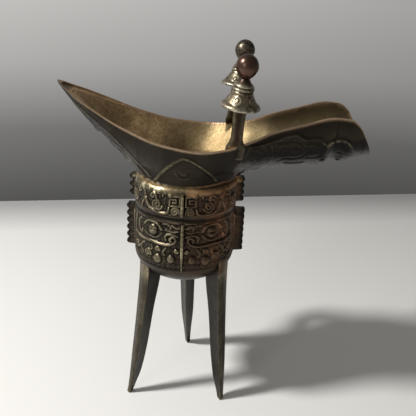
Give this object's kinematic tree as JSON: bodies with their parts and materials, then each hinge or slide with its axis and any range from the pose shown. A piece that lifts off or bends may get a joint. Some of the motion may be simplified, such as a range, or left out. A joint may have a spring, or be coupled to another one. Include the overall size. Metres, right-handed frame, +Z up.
{
  "type": "tripod wine cup",
  "caption": "Footed ritual wine cup of cast bronze: a hollow round body with a long pouring spout, a pointed tail, capped posts on the rim, scalloped flanges and a strap handle.",
  "frame": {"origin": "on the floor that the feet stand on, under the middle of the whole cup's bounding box", "axes": "+X towards the mouth of the spout, +Y towards the handle, +Z up"},
  "size_m": [0.171, 0.0844, 0.2114],
  "materials": {
    "bronze": "old cast bronze with a dark brown-black patina, slightly olive, worn to bright brass on raised edges, the rim and the caps"
  },
  "bodies": {
    "root": {"jue_cup": "bronze"}
  },
  "joints": []
}
